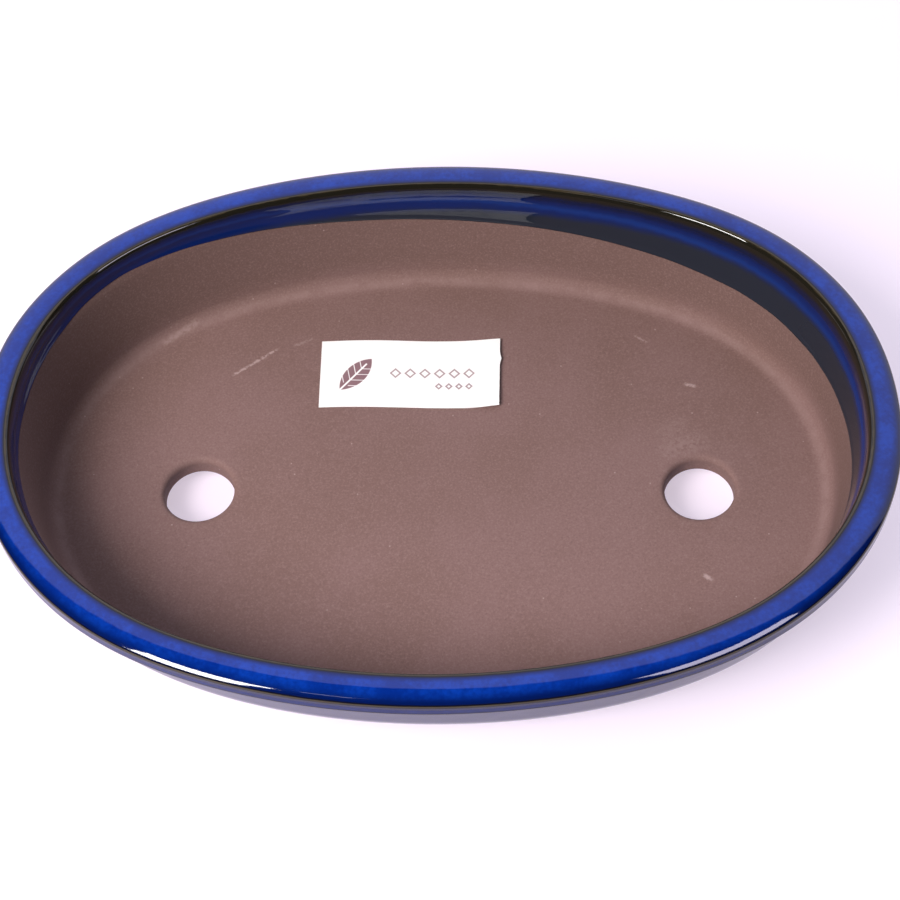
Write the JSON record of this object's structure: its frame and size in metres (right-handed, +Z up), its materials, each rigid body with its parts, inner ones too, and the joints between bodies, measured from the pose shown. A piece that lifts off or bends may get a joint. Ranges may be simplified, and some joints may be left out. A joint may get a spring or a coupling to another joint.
{
  "type": "bonsai pot",
  "caption": "Shallow oval glazed stoneware planter with a broad lip, an unglazed inside, drain holes in its floor, low feet and a plain paper label.",
  "frame": {"origin": "on the surface that the feet stand on, under the middle of the oval", "axes": "+X along the oval's length, +Y towards the rear wall that the label lies next to, +Z up"},
  "size_m": [0.255, 0.177, 0.05],
  "materials": {
    "bare_clay": "unglazed purple-brown stoneware, fine grained and matt",
    "cobalt_glaze": "glossy opaque cobalt-blue glaze that breaks to brown on sharp edges",
    "label_paper": null
  },
  "bodies": {
    "root": {"clay_body": "bare_clay", "foot_front_left": "bare_clay", "foot_front_right": "bare_clay", "foot_rear_left": "bare_clay", "foot_rear_right": "bare_clay", "glaze_coat": "cobalt_glaze", "paper_label": "label_paper"}
  },
  "joints": []
}
